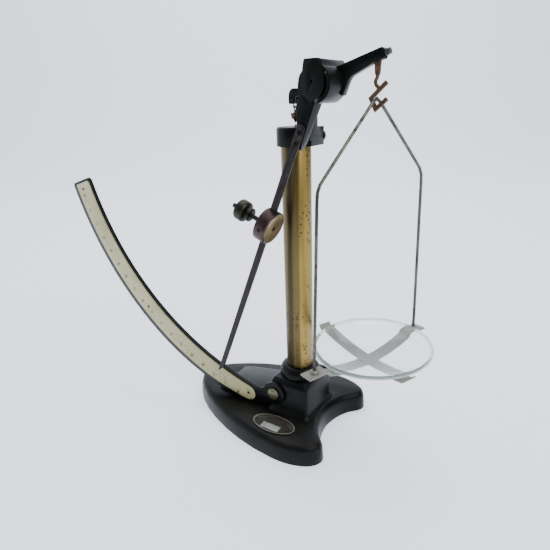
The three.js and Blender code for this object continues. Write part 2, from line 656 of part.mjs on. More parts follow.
// ---------------------------------------------------------------- the stand
add(balance, 'base_casting', baseCasting(), enamel);
add(balance, 'name_plate', namePlate(), darkBrass, [PLATE_AT.x, PLATE_AT.y, BASE_TOP + GAP]);
for (const [name, side] of [['name_plate_pin_left', -1], ['name_plate_pin_right', 1]]) {
  const at = [PLATE_AT.x + side * PLATE_PIN, PLATE_AT.y, BASE_TOP + 0.5];
  add(balance, name, pinWithHead(1.1, 1.4, 1, 0.1), brass, at);
}
add(balance, 'column_tube', columnTube(), brass);
add(balance, 'head_casting', headCasting(), enamel);
add(balance, 'head_lock_screw', domedScrew(6, 6.5, 3, 15, 1.2), blackSteel,
  [20, 15, 347], [-Math.PI / 2, 0, 0]);
add(balance, 'front_bearing', bearingBlock(), steel, [PIVOT.x, TROUGH_FRONT + 5.5, KNIFE_SEAT]);
add(balance, 'rear_bearing', bearingBlock(), steel, [PIVOT.x, TROUGH_REAR - 5.5, KNIFE_SEAT]);
add(balance, 'index_pin', turned([
  [0, -3.5], [1.2, -3.5], [1.2, 0.3], [2.2, 0.3], [0, 2.6],
], 16), brass, [0, 0, CAP_TOP]);
add(balance, 'scale_bar', scaleBar(), enamel);
add(balance, 'scale_plate', scalePlate(), cream);
PLATE_PINS.forEach((angle, i) => {
  const at = platePinAt(angle);
  const place = [at.x, PLATE_BACK - PLATE_THICK - 0.2, at.y];
  const name = `scale_plate_pin_${i + 1}`;
  add(balance, name, pinWithHead(1.7, 0.9, 1, 3), blackSteel, place, [Math.PI / 2, 0, 0]);
});
add(balance, 'scale_clamp_screw', domedScrew(7.5, 4.2, 4, 22, 1.3), darkBrass,
  [SCALE_SCREW.x, FACE_Y - 2 * GAP - BAR_THICK, SCALE_SCREW.y], [Math.PI / 2, 0, 0]);
add(balance, 'plumb_pin', alongY(rod(1.15, -6.6, 6.6, 12)), steel, [0, 0, 382.2]);

// ---------------------------------------------------------------- plumb bob, hanging from its pin
add(balance, 'plumb_link', plumbLink(), steel);
add(balance, 'plumb_bob', plumbBob(), rustySteel);

// ---------------------------------------------------------------- the beam
add(balance, 'beam_casting', beamCasting(), enamel);
add(balance, 'knife_edge', knifeBar(KNIFE_LENGTH), steel, [PIVOT.x, KNIFE_FRONT, PIVOT.z]);
add(balance, 'load_knife', alongY(rod(1.6, -3, 3, 12)), steel, LOAD.toArray());

const pendulum = new THREE.Group();
pendulum.position.set(...pendulumPoint(0, POINTER_Y, 0));
pendulum.rotation.y = SWING_REST;
balance.add(pendulum);
add(pendulum, 'pointer', pointer(), blackSteel);
RIVETS.forEach((down, i) => {
  add(pendulum, `pointer_rivet_${i + 1}`, pinWithHead(2.6, 1.3, 1.3, 6), steel,
    [0, -POINTER_THICK / 2 - GAP, -down], [Math.PI / 2, 0, 0]);
});
const weight = new THREE.Group();
weight.position.set(0, 0, -WEIGHT_AT);
pendulum.add(weight);
add(weight, 'counterweight', counterweight(), darkBrass);
add(weight, 'counterweight_grub_screw', alongY(rod(1.6, -17, -POINTER_THICK / 2 - 0.6, 12)), blackSteel);
add(weight, 'balance_stud', alongX(rod(STUD_R, -STUD_END, -4.7, 16)), blackSteel);
const nut = (r, from, to, round) => alongX(turned([
  [STUD_R + GAP, -to], [r - round, -to], [r - round * 0.3, -to + round * 0.3], [r, -to + round],
  [r, -from - round], [r - round * 0.3, -from - round * 0.3], [r - round, -from], [STUD_R + GAP, -from],
  [STUD_R + GAP, -to],
], 32));
add(weight, 'balance_lock_nut', nut(7.6, 23, 28.6, 0.8), darkBrass);
add(weight, 'balance_nut', nut(11.5, 28.9, 40.5, 2.4), darkBrass);

const loadEnd = new THREE.Group();
loadEnd.position.set(97.8, LOAD.y, 417.6);
loadEnd.rotation.y = THREE.MathUtils.degToRad(-16);
balance.add(loadEnd);
add(loadEnd, 'arm_end_collar', alongX(turned([
  [0, 0.1], [3, 0.1], [3.3, 0.5], [3.3, 1.8], [2.8, 2.2], [0, 2.2],
], 20)), steel);
add(loadEnd, 'arm_end_nut', alongX(turned([
  [0, 2.5], [2.2, 2.5], [2.8, 3], [2.8, 4.6], [2.2, 5.2], [0, 5.4],
], 20)), steel);

// ---------------------------------------------------------------- hook, bail and dish
const hang = new THREE.Group();
hang.position.copy(LOAD);
balance.add(hang);
add(hang, 'pan_hook', panHook(), rustySteel);

const pan = new THREE.Group();
pan.position.set(LOAD.x, LOAD.y, 0);
pan.rotation.z = PAN_TURN;
balance.add(pan);
add(pan, 'bail_wire', bailWire(), steel);
// each list of endings runs outwards from the bent part: distance out, height above it
const flange = [[1.5, 3.4], [3, FLANGE_RISE], [26, FLANGE_RISE]];
const upturn = [[3.5, 0.8], [7, 4.6]];
add(pan, 'cradle_strip_long', strip(STRIP_LOW, STRIP_CURVE, STRIP_HALF, flange), steel);
add(pan, 'cradle_strip_short', strip(0, SHORT_CURVE, SHORT_HALF, upturn).rotateY(SHORT_LEAN), steel,
  [0, SHORT_OFFSET, STRIP_LOW + STRIP_THICK + 2 * GAP], [0, 0, STRIP_CROSSING]);
const footZ = STRIP_LOW + STRIP_HALF ** 2 / (2 * STRIP_CURVE) + FLANGE_RISE + STRIP_THICK + GAP;
for (const [name, way] of [['bail_foot_front', -1], ['bail_foot_back', 1]]) {
  add(pan, name, ferrule(BAIL_R + GAP, FERRULE_R, FERRULE_TALL), steel, [way * BAIL_FOOT_OUT, 0, footZ]);
}

// the dish has slid a little way round its own curve, and stands up on that side
const DISH_CURVE = (DISH_R * DISH_R + DISH_DEPTH * DISH_DEPTH) / (2 * DISH_DEPTH);
const seat = new THREE.Group();
seat.position.set(0.9, 0, STRIP_LOW + 2 * STRIP_THICK + 4 * GAP + DISH_CURVE);
seat.rotation.y = THREE.MathUtils.degToRad(-DISH_SLID);
pan.add(seat);
add(seat, 'glass_dish', dish(), glass, [0, 0, -DISH_CURVE]);

export default balance;
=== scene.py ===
"""Looks of a quadrant balance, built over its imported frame. Metres, +Z up."""
import json
import math

import bmesh
import bpy
from mathutils import Matrix, Vector


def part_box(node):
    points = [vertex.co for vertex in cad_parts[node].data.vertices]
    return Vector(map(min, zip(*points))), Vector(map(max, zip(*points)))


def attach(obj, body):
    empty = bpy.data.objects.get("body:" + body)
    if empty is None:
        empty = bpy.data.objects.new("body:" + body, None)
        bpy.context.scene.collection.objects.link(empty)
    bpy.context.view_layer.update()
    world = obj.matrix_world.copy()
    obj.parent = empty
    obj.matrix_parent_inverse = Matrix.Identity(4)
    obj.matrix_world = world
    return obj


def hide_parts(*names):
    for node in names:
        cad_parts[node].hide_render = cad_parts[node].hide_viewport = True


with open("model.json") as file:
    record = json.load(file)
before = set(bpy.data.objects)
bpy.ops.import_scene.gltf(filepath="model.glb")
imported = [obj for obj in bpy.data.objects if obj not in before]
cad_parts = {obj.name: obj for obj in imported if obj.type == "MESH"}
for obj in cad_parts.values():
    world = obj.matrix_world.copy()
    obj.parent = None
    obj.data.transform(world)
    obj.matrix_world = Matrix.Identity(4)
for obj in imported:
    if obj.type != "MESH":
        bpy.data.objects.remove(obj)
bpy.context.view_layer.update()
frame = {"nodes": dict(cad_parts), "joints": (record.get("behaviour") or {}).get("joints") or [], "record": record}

MM = 0.001
HEADING = math.radians(34)  # the way the camera looks, turned left from +Y

# scale plate, measured outwards from the main knife edge
SCALE_FAR_END, SCALE_NEAR_END = 16, 75.5  # degrees below level
PLATE_INNER = 367.8 * MM  # inner edge at the far end
PLATE_DRIFT = 8 * MM  # and how much nearer it comes at the near end
BORDER_FAR = 28 * MM  # where the black outer border starts, out from the inner edge
BORDER_DRIFT = 9.5 * MM
MARKS_OUT = 18.5 * MM  # middle of the row of worn marks
DIRT_OUT = 16 * MM

PLATE_HALF_LONG, PLATE_HALF_WIDE = 28.5 * MM, 15 * MM  # oval name plate
DISH_DEPTH = 13 * MM
GLASS_THICK = 3.6 * MM
GLASS_LIP = 2.6 * MM  # width of the rounded rim
GROUND_EDGE = 1.5 * MM
THREAD_PITCH = 0.9 * MM
THREAD_ROOT, THREAD_CREST = 2.15 * MM, 2.58 * MM
STUD_TIP = 3 * MM  # how far the stud stands out past the round nut
JOINTS = {joint["name"]: joint for joint in frame["joints"]}
BODY_OF = {
    node: body
    for body, nodes in frame["record"]["behaviour"]["bodies"].items()
    for node in nodes
}
PIVOT = Vector(JOINTS["beam_swing"]["pos_m"])
NUT_AXIS = Vector(JOINTS["balance_nut_travel"]["axis"]).normalized()


# ------------------------------------------------------------------ shader maths
class Socket:
    """An output or a plain number, so that shader maths reads as arithmetic."""

    def __init__(self, shader, value):
        self.shader = shader
        self.value = value

    def maths(self, operation, *others):
        return self.shader.node("ShaderNodeMath", [self, *others], operation=operation)

    def __add__(self, other):
        return self.maths("ADD", other)

    def __radd__(self, other):
        return self.maths("ADD", other)

    def __sub__(self, other):
        return self.maths("SUBTRACT", other)

    def __rsub__(self, other):
        return Socket(self.shader, other).maths("SUBTRACT", self)

    def __mul__(self, other):
        return self.maths("MULTIPLY", other)

    def __rmul__(self, other):
        return self.maths("MULTIPLY", other)

    def __truediv__(self, other):
        return self.maths("DIVIDE", other)

    def __pow__(self, other):
        return self.maths("POWER", other)

    def __gt__(self, other):
        return self.maths("GREATER_THAN", other)

    def __lt__(self, other):
        return self.maths("LESS_THAN", other)

    def ramp(self, low, high):
        """0 below low, 1 above high, smooth between; low may be the larger."""
        return self.shader.node(
            "ShaderNodeMapRange", [self, low, high], interpolation_type="SMOOTHSTEP"
        )


class Shader:
    """A node material with one Principled BSDF, filled in by name."""

    def __init__(self, name):
        self.material = bpy.data.materials.new(name)
        self.material.use_nodes = True
        self.tree = self.material.node_tree
        self.bsdf = self.tree.nodes["Principled BSDF"]
        place = self.tree.nodes.new("ShaderNodeTexCoord")
        self.place = Socket(self, place.outputs["Object"])
        geometry = self.tree.nodes.new("ShaderNodeNewGeometry")
        self.edge = Socket(self, geometry.outputs["Pointiness"])
        self.facing = Socket(self, geometry.outputs["Normal"])

    def feed(self, socket, value):
        if isinstance(value, Socket):
            value = value.value
        if isinstance(value, bpy.types.NodeSocket):
            self.tree.links.new(value, socket)
        elif isinstance(value, tuple) and len(value) == 3 and socket.type == "RGBA":
            socket.default_value = (*value, 1)
        else:
            socket.default_value = value

    def node(self, kind, values=(), output=0, **settings):
        """Adds a node, with its settings and input values, and returns one output."""
        made = self.tree.nodes.new(kind)
        for name, value in settings.items():
            setattr(made, name, value)
        values = values if isinstance(values, dict) else dict(enumerate(values))
        for key, value in values.items():
            self.feed(made.inputs[key], value)
        return Socket(self, made.outputs[output])

    def mix(self, amount, under, over):
        values = {"Factor": amount, "A": under, "B": over}
        made = self.tree.nodes.new("ShaderNodeMix")
        made.data_type = "RGBA"
        for name, value in values.items():
            for socket in made.inputs:
                if socket.name == name and socket.enabled:
                    self.feed(socket, value)
        return Socket(self, next(out for out in made.outputs if out.enabled))

    def split(self, vector):
        """The X, Y and Z of a vector as three numbers."""
        made = self.tree.nodes.new("ShaderNodeSeparateXYZ")
        self.feed(made.inputs[0], vector)
        return [Socket(self, out) for out in made.outputs]

    def stretched(self, scale, shift=(0, 0, 0)):
        return self.node("ShaderNodeMapping", {"Vector": self.place, "Scale": scale, "Location": shift})

    def noise(self, scale, detail=4.0, roughness=0.55, place=None):
        values = {"Vector": place or self.place, "Scale": scale, "Detail": detail, "Roughness": roughness}
        return self.node("ShaderNodeTexNoise", values, noise_dimensions="3D")

    def spots(self, scale, place=None):
        """Distance to the nearest of many scattered points."""
        values = {"Vector": place or self.place, "Scale": scale}
        return self.node("ShaderNodeTexVoronoi", values, output="Distance", feature="F1")

    def bump(self, height, strength, distance):
        values = {"Height": height, "Strength": strength, "Distance": distance}
        return self.node("ShaderNodeBump", values, output="Normal")

    def finish(self, **inputs):
        for name, value in inputs.items():
            self.feed(self.bsdf.inputs[name.replace("_", " ")], value)
        return self.material


# ------------------------------------------------------------------ materials
def black_stove_enamel():
    """Black stove enamel over cast iron: faint orange peel, dust on top, a few chips."""
    sh = Shader("black_stove_enamel")
    grime = sh.noise(28)
    dust = sh.noise(9, 6, 0.7)
    up = sh.split(sh.facing)[2].ramp(0.35, 1.0)
    chips = (sh.spots(170) + sh.noise(300) * 0.12).ramp(0.27, 0.2) * sh.noise(24).ramp(0.58, 0.64)
    bare = chips * 0.7
    paint = sh.mix(grime.ramp(0.3, 0.75), (0.0022, 0.0028, 0.0028), (0.0065, 0.007, 0.0062))
    settled = dust.ramp(0.42, 0.8) * up
    paint = sh.mix(settled * 0.4, paint, (0.03, 0.028, 0.022))
    metal = sh.mix(sh.noise(200).ramp(0.35, 0.65), (0.06, 0.04, 0.028), (0.15, 0.145, 0.13))
    skin = sh.noise(260, 2) * 0.35 + sh.noise(60, 3) * 0.8 - bare * 0.8
    return sh.finish(
        Base_Color=sh.mix(bare, paint, metal),
        Roughness=grime * 0.16 + 0.24 + settled * 0.2 + bare * 0.15,
        Metallic=bare * 0.4,
        Specular_IOR_Level=0.14,
        Normal=sh.bump(skin, 0.22, 0.0005),
    )


def column_brass():
    """Drawn brass tube with painted light: a gold painted highlight on the flank towards the camera's right, olive
    and brown painted shade on the other flank, a dark painted reflection band near the middle, over tarnish clouds
    and patches of dark specks.
    """
    sh = Shader("column_brass")
    height = sh.split(sh.place)[2]
    east, north, _ = sh.split(sh.facing)
    # flank: how far a face turns towards the camera's right; the colours below use it for painted light and shade
    flank = east * math.cos(HEADING) + north * math.sin(HEADING)
    streaks = sh.noise(1, 5, 0.6, sh.stretched((260, 260, 5)))
    clouds = sh.noise(16, 6, 0.65)
    low = height.ramp(0.17, 0.07)
    # the gold is the painted lit copy of the brass and the olive is the painted shaded copy of the same brass
    lit_gold = sh.mix(streaks.ramp(0.3, 0.7), (0.28, 0.19, 0.046), (0.37, 0.26, 0.072))
    olive = sh.mix(streaks.ramp(0.3, 0.7), (0.115, 0.085, 0.028), (0.155, 0.12, 0.042))
    # painted light: gold on the flank towards the camera's right, olive painted shade on the other flank
    painted_lit_flank = (flank + (clouds - 0.5) * 0.12).ramp(-0.16, 0.1)
    skin = sh.mix(painted_lit_flank, olive, lit_gold)
    # painted reflection: darker brown along the far right edge
    skin = sh.mix(flank.ramp(0.66, 0.98) * 0.6, skin, (0.15, 0.1, 0.035))
    # painted shade: dark brown over the left flank
    shade = (flank + (clouds - 0.5) * 0.1).ramp(-0.36, -0.56) * (flank + 0.86).ramp(0.0, 0.16)
    skin = sh.mix(shade * 0.8, skin, (0.04, 0.026, 0.013))
    # painted reflection: a narrow dark vertical band just left of the middle
    painted_reflection_band = (flank + 0.06 + (clouds - 0.5) * 0.05).maths("ABSOLUTE").ramp(0.05, 0.015)
    skin = sh.mix(painted_reflection_band * 0.35, skin, (0.1, 0.065, 0.026))
    tarnish = (clouds + low * 0.2).ramp(0.6, 0.78)
    aged = sh.mix(tarnish * 0.7, skin, (0.13, 0.075, 0.025))
    specks = (sh.spots(230) + sh.noise(420) * 0.14).ramp(0.42, 0.32)
    where = (sh.noise(34, 3) + low * 0.1 + flank.ramp(-0.3, 0.8) * 0.08).ramp(0.55, 0.6)
    fine = (sh.spots(420) + sh.noise(700) * 0.1).ramp(0.38, 0.28) * sh.noise(45, 3).ramp(0.52, 0.58)
    dark = sh.node("ShaderNodeMath", [specks * where * 0.9 + fine * 0.6, 1.0], operation="MINIMUM")
    return sh.finish(
        Base_Color=sh.mix(dark, aged, (0.05, 0.02, 0.012)),
        Roughness=streaks * 0.12 + tarnish * 0.16 + dark * 0.2 + 0.3,
        Metallic=0.78 - dark * 0.6,
        Normal=sh.bump(streaks * 0.6 - dark * 0.6, 0.12, 0.0003),
    )


def brown_brass(name, clean, dull, rubbed):
    """Brass gone brown, bright again where fingers and edges have rubbed it."""
    sh = Shader(name)
    patch = sh.noise(70, 5, 0.62)
    rub = (sh.edge + (sh.noise(260) - 0.5) * 0.08).ramp(0.53, 0.6)
    grain = sh.noise(600, 3)
    base = sh.mix(patch.ramp(0.36, 0.64), dull, clean)
    return sh.finish(
        Base_Color=sh.mix(rub * 0.85, base, rubbed),
        Roughness=patch * 0.25 + 0.3 - rub * 0.12,
        Metallic=0.9,
        Normal=sh.bump(grain + patch, 0.2, 0.0003),
    )


def dull_metal(name, clean, dull, rust, rusting, metallic=0.9, rough=0.34, scale=90):
    """Iron or tinned steel: brushed, clouded, with a share of it rusted."""
    sh = Shader(name)
    cloud = sh.noise(scale * 0.6, 5, 0.6)
    brushed = sh.noise(1, 4, 0.6, sh.stretched((900, 900, 60)))
    rusty = (sh.noise(scale, 6, 0.68) + (sh.edge - 0.5) * 0.6).ramp(1.02 - rusting, 1.12 - rusting)
    base = sh.mix(cloud.ramp(0.32, 0.7), dull, clean)
    stain = sh.mix(sh.noise(scale * 5).ramp(0.3, 0.7), rust, tuple(c * 0.4 for c in rust))
    return sh.finish(
        Base_Color=sh.mix(rusty, base, stain),
        Roughness=cloud * 0.16 + rusty * 0.32 + brushed * 0.1 + rough - 0.1,
        Metallic=metallic - rusty * (metallic * 0.7),
        Normal=sh.bump(brushed * 0.4 + rusty * sh.noise(scale * 8), 0.3, 0.0003),
    )


def scale_enamel(start, end):
    """Yellowed cream enamel with a black outer border, faint divisions and a row of worn marks."""
    sh = Shader("scale_enamel")
    x, _, z = sh.split(sh.place)
    across = x - PIVOT.x
    up = z - PIVOT.z
    radius = sh.node("ShaderNodeMath", [across * across + up * up], operation="SQRT")
    turn = sh.node("ShaderNodeMath", [0 - up, 0 - across], operation="ARCTAN2") * (180 / math.pi)
    along = (turn - start) / (end - start)
    out = radius - (PLATE_INNER - along * PLATE_DRIFT)

    def ticks(count, length, thick):
        nearest = sh.node("ShaderNodeMath", [along * count, 0.5], operation="PINGPONG")
        return nearest.ramp(thick, thick * 0.55) * (out > 0.0012) * (out < length)

    worn = sh.noise(60, 5, 0.65).ramp(0.4, 0.66)
    marks = ticks(120, 0.0035, 0.1) * 0.3 + ticks(24, 0.0055, 0.026) * 0.35
    marks = marks * (worn * 0.5 + 0.1)
    low = along.ramp(0.35, 0.85)
    spot = sh.node("ShaderNodeMath", [along * 19, 0.5], operation="PINGPONG").ramp(0.13, 0.06)
    band = (out - MARKS_OUT).maths("ABSOLUTE").ramp(0.0045, 0.0015)
    row = spot * band * sh.noise(330, 4, 0.7).ramp(0.46, 0.52)
    yellow = sh.noise(13, 5, 0.6)
    cream = sh.mix(yellow.ramp(0.35, 0.68), (0.50, 0.46, 0.23), (0.66, 0.62, 0.37))
    dirt = (sh.spots(300) + sh.noise(260) * 0.15).ramp(0.42, 0.32) * sh.noise(48).ramp(0.5, 0.55)
    dirt = dirt * (out - DIRT_OUT).maths("ABSOLUTE").ramp(0.012, 0.003) * (low * 0.7 + 0.3)
    stain = sh.noise(90, 6, 0.7).ramp(0.6, 0.78) * 0.4
    cream = sh.mix(low * 0.6, cream, (0.40, 0.375, 0.17))
    base = sh.mix(stain, cream, (0.3, 0.26, 0.12))
    base = sh.mix(marks, base, (0.06, 0.055, 0.045))
    base = sh.mix(row * 0.85, base, (0.06, 0.05, 0.03))
    border = (out - (BORDER_FAR - along ** 6 * BORDER_DRIFT)).ramp(-0.0003, 0.0003)
    base = sh.mix(border * (1 - along.ramp(0.94, 0.99)), base, (0.008, 0.008, 0.007))
    rim = (out + (sh.noise(300) - 0.5) * 0.002).ramp(0.0016, 0.0004)
    base = sh.mix(rim * 0.5, base, (0.2, 0.18, 0.09))
    return sh.finish(
        Base_Color=sh.mix(dirt * 0.85, base, (0.06, 0.035, 0.02)),
        Roughness=yellow * 0.2 + 0.34 + dirt * 0.2,
        Metallic=0.0,
        Normal=sh.bump(sh.noise(220, 3) - marks * 0.3, 0.12, 0.0003),
    )


def label_brass(centre):
    """Blackened oval plate: one pale line near its edge, a small pale panel and faint worn rows."""
    sh = Shader("label_brass")
    x, y, _ = sh.split(sh.place)
    across = (x - centre.x) / PLATE_HALF_LONG
    along = (y - centre.y) / PLATE_HALF_WIDE
    out = sh.node("ShaderNodeMath", [across * across + along * along], operation="SQRT")
    ring = (out - 0.94).maths("ABSOLUTE").ramp(0.034, 0.014)
    panel = ((across + 0.02).maths("ABSOLUTE") < 0.42) * ((along + 0.42).maths("ABSOLUTE") < 0.31)
    rows = sh.node("ShaderNodeMath", [along * 4.2, 1.0], operation="FRACT").ramp(0.42, 0.58)
    words = sh.noise(1, 2, 0.5, sh.stretched((420, 260, 1))).ramp(0.48, 0.56) * rows
    text = words * (out < 0.74) * (1 - panel)
    marks = sh.node("ShaderNodeMath", [ring * 0.6 + text * 0.12 + panel * 0.9, 1.0], operation="MINIMUM")
    worn = sh.noise(180, 5, 0.6).ramp(0.3, 0.6) * 0.4 + 0.6
    ground = sh.mix(sh.noise(90), (0.010, 0.009, 0.007), (0.024, 0.017, 0.012))
    pale = sh.mix(panel, (0.40, 0.38, 0.27), (0.50, 0.51, 0.48))
    return sh.finish(
        Base_Color=sh.mix(marks * worn, ground, pale),
        Roughness=0.42 - marks * 0.06 + sh.noise(120) * 0.1,
        Metallic=marks * 0.3 + 0.1,
        Normal=sh.bump(marks, 0.25, 0.0002),
    )


def dish_glass():
    """Clear glass, faintly green through its rim, with a film of finger marks."""
    sh = Shader("dish_glass")
    film = sh.noise(45, 5, 0.65).ramp(0.45, 0.75)
    scratch = sh.noise(1, 3, 0.5, sh.stretched((700, 40, 40))).ramp(0.62, 0.7)
    tint = sh.mix(film, (0.965, 0.99, 0.98), (0.945, 0.98, 0.965))
    return sh.finish(
        Base_Color=tint,
        Roughness=film * 0.02 + scratch * 0.03 + 0.01,
        Metallic=0.0,
        IOR=1.5,
        Transmission_Weight=1.0,
        Normal=sh.bump(film, 0.02, 0.0002),
    )


def ground_rim():
    """The dish's ground edge, where the glass shows its green."""
    sh = Shader("ground_rim")
    cloud = sh.noise(160, 4, 0.6)
    return sh.finish(
        Base_Color=sh.mix(cloud, (0.62, 0.78, 0.70), (0.80, 0.90, 0.86)),
        Roughness=cloud * 0.2 + 0.25,
        Metallic=0.0,
        IOR=1.3,
        Transmission_Weight=0.35,
        Alpha=0.6,
        Normal=sh.bump(cloud, 0.1, 0.0002),
    )


def studio_paper():
    """The seamless pale sweep the balance stands on."""
    sh = Shader("studio_paper")
    tone = sh.noise(3, 3, 0.5)
    return sh.finish(
        Base_Color=sh.mix(tone, (0.775, 0.79, 0.82), (0.80, 0.81, 0.835)),
        Roughness=tone * 0.1 + 0.6,
        Emission_Color=(0.78, 0.86, 0.99),
        Emission_Strength=0.95,
        Normal=sh.bump(sh.noise(500, 3), 0.02, 0.0004),
    )


# ------------------------------------------------------------------ building pieces
def piece(name, mesh, material, body, replaces=()):
    """Links a finished mesh into the scene, riding on its body."""
    data = bpy.data.meshes.new(name)
    mesh.to_mesh(data)
    mesh.free()
    made = bpy.data.objects.new(name, data)
    bpy.context.scene.collection.objects.link(made)
    data.materials.append(material)
    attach(made, body)
    if replaces:
        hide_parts(*replaces)
    return made


def smoothed(made):
    for face in made.data.polygons:
        face.use_smooth = True
    return made


def soften(made, width, segments=3, angle=32):
    """Breaks the sharp edges of a piece, then shades it smooth up to the same angle."""
    bevel = made.modifiers.new("broken_edges", "BEVEL")
    bevel.width = width
    bevel.segments = segments
    bevel.limit_method = "ANGLE"
    bevel.angle_limit = math.radians(angle)
    bevel.harden_normals = True
    return smoothed(made)


def refined(node, material, width=0.35 * MM, segments=3, angle=32):
    """A CAD node's own form with its flats cleaned, its edges broken and its curves shaded."""
    mesh = bmesh.new()
    mesh.from_mesh(frame["nodes"][node].data)
    bmesh.ops.remove_doubles(mesh, verts=mesh.verts, dist=0.004 * MM)
    flat = math.radians(1.0)
    bmesh.ops.dissolve_limit(mesh, angle_limit=flat, verts=mesh.verts, edges=mesh.edges)
    made = piece(node + "_look", mesh, material, BODY_OF[node], [node])
    return soften(made, width, segments, angle)


def lathe(profile, segments=96):
    """A solid turned about Z from pairs of radius and height, on the axis at both ends."""
    mesh = bmesh.new()
    rings = []
    for radius, height in profile:
        if radius < 1e-7:
            rings.append([mesh.verts.new((0, 0, height))])
            continue
        turns = [2 * math.pi * i / segments for i in range(segments)]
        rings.append([mesh.verts.new((radius * math.cos(t), radius * math.sin(t), height)) for t in turns])
    for below, above in zip(rings, rings[1:]):
        for i in range(segments):
            j = (i + 1) % segments
            corners = [below[i % len(below)], below[j % len(below)]]
            corners += [above[j % len(above)], above[i % len(above)]]
            unique = list(dict.fromkeys(corners))
            if len(unique) > 2:
                mesh.faces.new(unique)
    bmesh.ops.recalc_face_normals(mesh, faces=mesh.faces)
    return mesh


def placed(mesh, axis, at):
    """Turns a lathe's Z to an axis and moves it to a point."""
    turn = Vector((0, 0, 1)).rotation_difference(Vector(axis)).to_matrix().to_4x4()
    bmesh.ops.transform(mesh, matrix=Matrix.Translation(at) @ turn, verts=mesh.verts)
    return mesh


def middle(node):
    low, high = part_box(node)
    return (low + high) / 2


# ------------------------------------------------------------------ the balance
def threaded_stud(material):
    """The balance nut's stud, cut with a real thread form along its length."""
    source = frame["nodes"]["balance_stud"].data
    along = [vertex.co.dot(NUT_AXIS) for vertex in source.vertices]
    centre = sum((vertex.co for vertex in source.vertices), Vector()) / len(source.vertices)
    base = centre - NUT_AXIS * centre.dot(NUT_AXIS)
    length = max(along) - min(along) + STUD_TIP
    profile = [(0, 0), (2.0 * MM, 0)]
    for turn in range(int(length / THREAD_PITCH)):
        foot = turn * THREAD_PITCH + 0.1 * MM
        crest = foot + THREAD_PITCH * 0.5
        flat = THREAD_PITCH * 0.05
        profile += [(THREAD_ROOT, foot), (THREAD_CREST, crest - flat), (THREAD_CREST, crest + flat)]
    profile += [(2.0 * MM, length), (1.2 * MM, length + 0.5 * MM), (0, length + 0.6 * MM)]
    mesh = placed(lathe(profile, 40), NUT_AXIS, base + NUT_AXIS * min(along))
    smoothed(piece("threaded_stud", mesh, material, "beam", ["balance_stud"]))


def turned_counterweight(face_metal, rim_metal):
    """The slotted disc: bright flat faces, brown rim."""
    made = refined("counterweight", rim_metal, 0.4 * MM, 3)
    made.data.materials.append(face_metal)
    for face in made.data.polygons:
        if face.normal.dot(NUT_AXIS) < -0.95:
            face.material_index = 1


def glass_bowl(material, edge_material):
    """The watch glass, remade smooth on the frame dish's own centre and tilt."""
    source = frame["nodes"]["glass_dish"].data
    points = [vertex.co for vertex in source.vertices]
    normals = [face.normal * face.area for face in source.polygons if face.normal.z > 0.2]
    up = sum(normals, Vector()).normalized()
    centre = sum((face.center * face.area for face in source.polygons), Vector())
    centre /= sum(face.area for face in source.polygons)
    heights = [(p - centre).dot(up) for p in points]
    low = min(heights)
    reach = max(((p - centre) - up * (p - centre).dot(up)).length for p in points)
    curve = (reach * reach + DISH_DEPTH * DISH_DEPTH) / (2 * DISH_DEPTH)
    steps = 24

    def bowl(width, lift):
        radii = [width * i / steps for i in range(steps + 1)]
        return [(r, lift + curve - math.sqrt(curve * curve - r * r)) for r in radii]

    outer = bowl(reach, 0)
    inner = bowl(reach - GLASS_LIP, GLASS_THICK)[::-1]
    edge = inner[0][1]
    brim = [(reach, DISH_DEPTH + 0.9 * MM), (reach - 0.35 * MM, edge + 0.1 * MM),
            (reach - 1.1 * MM, edge + 0.7 * MM), (reach - 1.9 * MM, edge + 0.65 * MM)]
    mesh = placed(lathe(outer + brim + inner, 160), up, centre + up * low)
    made = piece("watch_glass", mesh, material, "dish", ["glass_dish"])
    made.data.materials.append(edge_material)
    for face in made.data.polygons:
        face.use_smooth = True
        out = face.center - centre
        if (out - up * out.dot(up)).length > reach - GROUND_EDGE:
            face.material_index = 1


def bearing_screws(material):
    """Two small cheese-head screws that close the bearing trough's front end."""
    low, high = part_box("front_bearing")
    for side in (-1, 1):
        at = Vector(((low.x + high.x) / 2 + side * 9.4 * MM, low.y + 2 * MM, high.z + 1.6 * MM))
        profile = [(0, -1.5 * MM), (1.1 * MM, -1.5 * MM), (1.1 * MM, 0), (1.9 * MM, 0),
                   (1.9 * MM, 0.8 * MM), (1.5 * MM, 1.2 * MM), (0, 1.25 * MM)]
        mesh = placed(lathe(profile, 24), (side * 0.45, 0, 0.9), at)
        hand = "left" if side < 0 else "right"
        smoothed(piece(f"bearing_screw_{hand}", mesh, material, "stand", ()))


